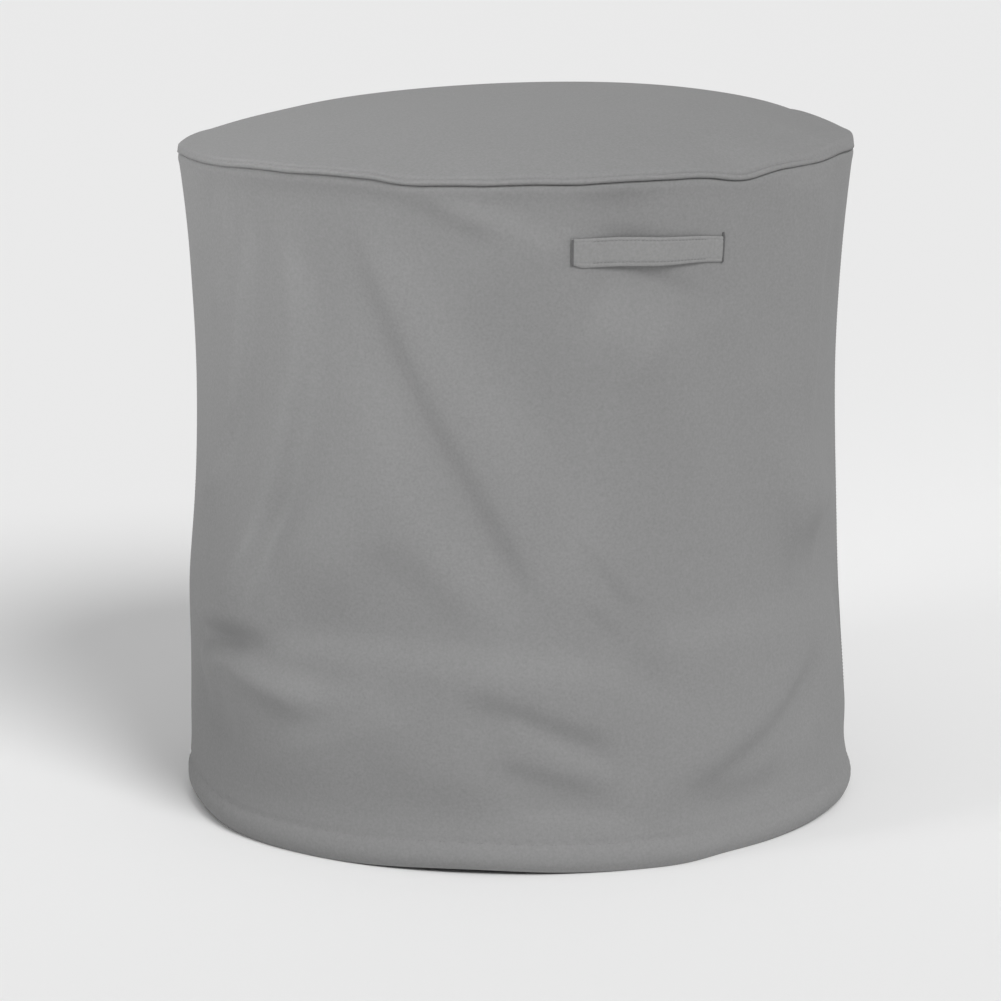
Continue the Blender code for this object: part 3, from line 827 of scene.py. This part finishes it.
GRIP_HALF_LENGTH = 0.070
GRIP_ROW_HALF_LENGTH = 0.069
CORE_HALF_LENGTH = 0.058
CORE_THIN, CORE_NARROW = 0.55, 0.66
STRAP_GREY = (0.240, 0.240, 0.239)
STRAP_LIFT = 0.0014
STRAP_BOW = 0.0037
STRAP_BACK = 0.0009
STRAP_FACE = 0.0013
STRAP_ROW = 0.0112
STRAP_SAG = 0.23
STRAP_STITCH_LENGTH, STRAP_THREAD_RADIUS, STRAP_STITCH_PITCH = 0.0030, 0.00028, 0.0042
TACK_REACH, TACK_LOW = 0.0906, -0.0150
TACK_STITCH_LENGTH, TACK_THREAD_RADIUS, TACK_PITCH = 0.0029, 0.00048, 0.00075
BLEND_START, BLEND_END = 0.068, 0.036
BACKING_HALF_LENGTH, BACKING_HALF_WIDTH, BACKING_WALL = 0.100, 0.031, 0.0010


def strap_point(middle, reach, rise, lift):
    """A point on a strap: reach along it from its middle and rise across it in metres, and lift off
    the cloth. The strap stays straight across, and falls a little towards +turn. Its lower edge sags
    over the two thirds towards -turn, short of the tack."""
    turn = middle + reach / strap_pace(middle)
    line = HANDLE_HEIGHT - HANDLE_FALL * reach
    relief = relief_at(turn, line) + seam_relief(turn, line)
    slack = (0.5 - 0.5 * np.tanh((reach - 0.030) / 0.032)) * np.clip((reach + 0.090) / 0.010, 0, 1)
    belly = STRAP_SAG * slack * np.clip(-rise / STRAP_HALF_WIDTH, 0, 1)
    turn, height, out_by = np.broadcast_arrays(turn, line + rise * (0.97 + belly), relief + lift)
    return barrel_point(turn, height, out_by)


def strap_lift(reach):
    """How far the strap's middle plane stands off the cloth: its bow is a parabola over the grip."""
    return STRAP_LIFT + STRAP_BOW * np.clip(1 - (reach / GRIP_HALF_LENGTH) ** 2, 0, 1)


def strap_outline(thin=1.0, narrow=1.0):
    """Rises and lifts round a strap's section, down its face and up its back: a flat pillow, drawn
    in where the two rows of stitches run unless it is the thinner core's."""
    rise = np.cos(np.linspace(0, np.pi, 33))
    rise = np.sign(rise) * abs(rise) ** 0.62 * STRAP_HALF_WIDTH * narrow
    fullness = np.sqrt(np.clip(1 - (abs(rise) / (STRAP_HALF_WIDTH * narrow)) ** 9, 0, 1))
    drawn = 0.00045 * np.exp(-(((abs(rise) - STRAP_ROW) / 0.0009) ** 2)) * (thin == 1.0)
    face = STRAP_FACE * thin * fullness - drawn
    back = -STRAP_BACK * thin * fullness
    return np.concatenate([rise, rise[-2:0:-1]]), np.concatenate([face, back[-2:0:-1]])


def strap_tube(name, middle, reaches, thin=1.0, narrow=1.0, tuck=None):
    """The section carried along the strap. A tuck brings it down to the cloth over the last rings."""
    rise, lift = strap_outline(thin, narrow)
    size = np.ones(reaches.shape) if tuck is None else tuck
    lifts = strap_lift(reaches)[:, None] * np.minimum(size, 1)[:, None] ** 0.5 + lift * size[:, None]
    points = strap_point(middle, reaches[:, None], rise[None, :], lifts)
    girth = np.concatenate([[0], np.cumsum(np.hypot(np.diff(rise), np.diff(lift)))])
    places = np.stack(np.broadcast_arrays(girth[None, :], reaches[:, None]), -1)
    return grid_mesh(name, points, places, loop_length=float(girth[-1] + 0.0005), capped=True)


def strap_stitches(name, middle, reaches):
    """Two rows of stitches on the strap's face, one along each edge."""
    rows = np.repeat([-STRAP_ROW, STRAP_ROW], len(reaches))
    reach = np.tile(reaches, 2)
    lift = strap_lift(reach) + STRAP_FACE - 0.0003
    middles = strap_point(middle, reach, rows, lift)
    along = strap_point(middle, reach + 0.001, rows, lift) - middles
    along /= np.linalg.norm(along, axis=-1, keepdims=True)
    out = cloth_out(middle + reach / strap_pace(middle))
    return stitch_mesh(name, middles, along, out, STRAP_STITCH_LENGTH, STRAP_THREAD_RADIUS)


def tack_mesh(name, middle, reach, high):
    """A bar tack: threads that lie side by side across the strap's end, each a little aslant, from
    the lower edge to high. Past the upper edge they come down to the skirt."""
    rises = np.arange(TACK_LOW, high, TACK_PITCH)
    lift = STRAP_LIFT + STRAP_FACE * np.clip((STRAP_HALF_WIDTH + 0.002 - abs(rises)) / 0.003, -0.6, 1.0)
    reach = np.full(rises.shape, reach)
    middles = strap_point(middle, reach, rises, lift)
    along = strap_point(middle, reach + 0.001, rises + 0.00025, lift) - middles
    along /= np.linalg.norm(along, axis=-1, keepdims=True)
    out = cloth_out(middle + reach / strap_pace(middle))
    return stitch_mesh(name, middles, along, out, TACK_STITCH_LENGTH, TACK_THREAD_RADIUS)


STRAP_CLOTH = woven("strap_cloth", STRAP_GREY, 0.0010, 0.05, 0.0002)
# The bar tacks' thread is partly its own dark grey and partly painted shade: it is made darker to stand in
# for the shadow at the strap's folded ends.
TACK_THREAD_AND_SHADE = thread("tack_thread_and_painted_shade", (0.110, 0.110, 0.111))
GRIP_CORE = filler("grip_core", (0.10, 0.10, 0.10))


def free_half(handle, where, middle, side, sign):
    """Half of the grip: the sleeve, its stitches and its core, which are attached to no body. The points
    where the strap leaves the skirt are worked out but not used."""
    inner = np.linspace(0.0, GRIP_HALF_LENGTH, 29)[::sign] * sign
    core_reaches = np.linspace(0.0, CORE_HALF_LENGTH, 25)[::sign] * sign
    stitched = sign * np.arange(STRAP_STITCH_PITCH / 2, GRIP_ROW_HALF_LENGTH, STRAP_STITCH_PITCH)
    name = f"{where}_grip_sleeve_{side}"
    sleeve = made_piece(
        name, strap_tube(name, middle, inner), STRAP_CLOTH, None, "webbing", f"{handle}_strap"
    )
    name = f"{where}_grip_stitching_{side}"
    rows = made_piece(
        name, strap_stitches(name, middle, stitched), SEWING_THREAD, None, "sewing_thread"
    )
    name = f"{where}_grip_core_{side}"
    core_tube = strap_tube(name, middle, core_reaches, thin=CORE_THIN, narrow=CORE_NARROW)
    core = made_piece(name, core_tube, GRIP_CORE, None, "webbing", f"{handle}_core")
    start, end = (
        strap_point(middle, np.float64(sign * reach), np.float64(0.0), np.float64(STRAP_LIFT))
        for reach in (BLEND_START, BLEND_END)
    )
    for bending in (sleeve, rows, core):
        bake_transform(bending)


def sewn_end(handle, where, middle, side, sign, top_of_tack):
    """One flat end of a strap, whose last rings tuck down to the skirt, and the bar tack over it."""
    outer = np.concatenate([np.linspace(GRIP_HALF_LENGTH, 0.0903, 9), [0.0912, 0.0917, STRAP_HALF_LENGTH]])
    tuck = np.ones(outer.shape)
    tuck[-3:] = [0.92, 0.75, 0.40]
    name = f"{where}_sewn_end_{side}"
    end_tube = strap_tube(name, middle, sign * outer[::sign], tuck=tuck[::sign])
    made_piece(name, end_tube, STRAP_CLOTH, "cover", "webbing", f"{handle}_{side}_end")
    name = f"{where}_tack_{side}"
    made_piece(
        name,
        tack_mesh(name, middle, sign * TACK_REACH, top_of_tack),
        TACK_THREAD_AND_SHADE,
        "cover",
        "sewing_thread",
        f"{handle}_{side}_bar_tack",
    )


for handle, middle in HANDLE_TURNS.items():
    where = handle.split("_")[0]
    for side, sign, top_of_tack in (("left", -1, 0.0150), ("right", 1, 0.0200)):
        free_half(handle, where, middle, side, sign)
        sewn_end(handle, where, middle, side, sign, top_of_tack)
    backing_reach = BACKING_HALF_LENGTH / strap_pace(middle)
    inner_patch(
        f"{where}_grip_backing",
        f"{handle}_backing",
        COVER_CLOTH,
        "cover_cloth",
        np.linspace(middle + backing_reach, middle - backing_reach, 61),
        np.linspace(HANDLE_HEIGHT - BACKING_HALF_WIDTH, HANDLE_HEIGHT + BACKING_HALF_WIDTH, 21),
        BACKING_WALL,
    )

# --- Cloth declared -------------------------------------------------------------------------------
# Each panel of cloth is one flat cut, hung from the rim or drawn over the lid.

# --- Studio: floor, light and camera --------------------------------------------------------------
# A pale floor, a soft sun high at the front right, a disk lamp at the front left that lights the
# cover's upper left side, and even light from all round.

FLOOR_REACH = 30
FLOOR_GREY = 0.85

floor_mesh = bpy.data.meshes.new("floor")
corners = [(x * FLOOR_REACH, y * FLOOR_REACH, 0) for x, y in ((-1, -1), (1, -1), (1, 1), (-1, 1))]
floor_mesh.from_pydata(corners, [], [(0, 1, 2, 3)])
floor = bpy.data.objects.new("floor", floor_mesh)
bpy.context.collection.objects.link(floor)
floor_finish, floor_shader, _ = new_finish("pale_floor", 0.9)
floor_shader.inputs["Base Color"].default_value = (FLOOR_GREY, FLOOR_GREY, FLOOR_GREY, 1)
floor_mesh.materials.append(floor_finish)

world = bpy.data.worlds.new("studio")
bpy.context.scene.world = world
world.use_nodes = True
world.node_tree.nodes["Background"].inputs["Color"].default_value = (1, 1, 1, 1)
world.node_tree.nodes["Background"].inputs["Strength"].default_value = SKY


def soft_sun(name, turn, rise, power, spread):
    """A sun lamp seen at a turn from the front and a rise over level, with a spread in degrees."""
    data = bpy.data.lights.new(name, "SUN")
    data.energy = power * math.pi
    data.angle = math.radians(spread)
    lamp = bpy.data.objects.new(name, data)
    towards = Vector((math.sin(turn) * math.cos(rise), -math.cos(turn) * math.cos(rise), math.sin(rise)))
    lamp.rotation_euler = towards.to_track_quat("Z", "Y").to_euler()
    bpy.context.collection.objects.link(lamp)


KEY_SPREAD = 24
FILL_PLACE = Vector((-1.85, -1.05, 1.40))
FILL_AIM = Vector((-0.35, -0.1, 0.80))

soft_sun("key", KEY_TURN, KEY_RISE, KEY_POWER, KEY_SPREAD)
fill_data = bpy.data.lights.new("fill", "AREA")
fill_data.shape = "DISK"
fill_data.size = 1.1
fill_data.energy = 2.1
fill_data.spread = math.radians(46)
fill = bpy.data.objects.new("fill", fill_data)
fill.location = FILL_PLACE
fill.rotation_euler = (FILL_PLACE - FILL_AIM).to_track_quat("Z", "Y").to_euler()
bpy.context.collection.objects.link(fill)

CAMERA_PLACE = Vector((0.0, -4.2, 1.353))
CAMERA_AIM = Vector((-0.0197, 0.0, 0.3507))
CAMERA_ROLL = -0.0045
camera_data = bpy.data.cameras.new("camera")
camera_data.sensor_width = 36
camera_data.lens = 127.84
camera = bpy.data.objects.new("camera", camera_data)
look = (CAMERA_AIM - CAMERA_PLACE).to_track_quat("-Z", "Y").to_matrix().to_4x4()
camera.matrix_world = Matrix.Translation(CAMERA_PLACE) @ look @ Matrix.Rotation(CAMERA_ROLL, 4, "Z")
bpy.context.collection.objects.link(camera)
bpy.context.scene.camera = camera
bpy.context.scene.view_settings.view_transform = "Standard"
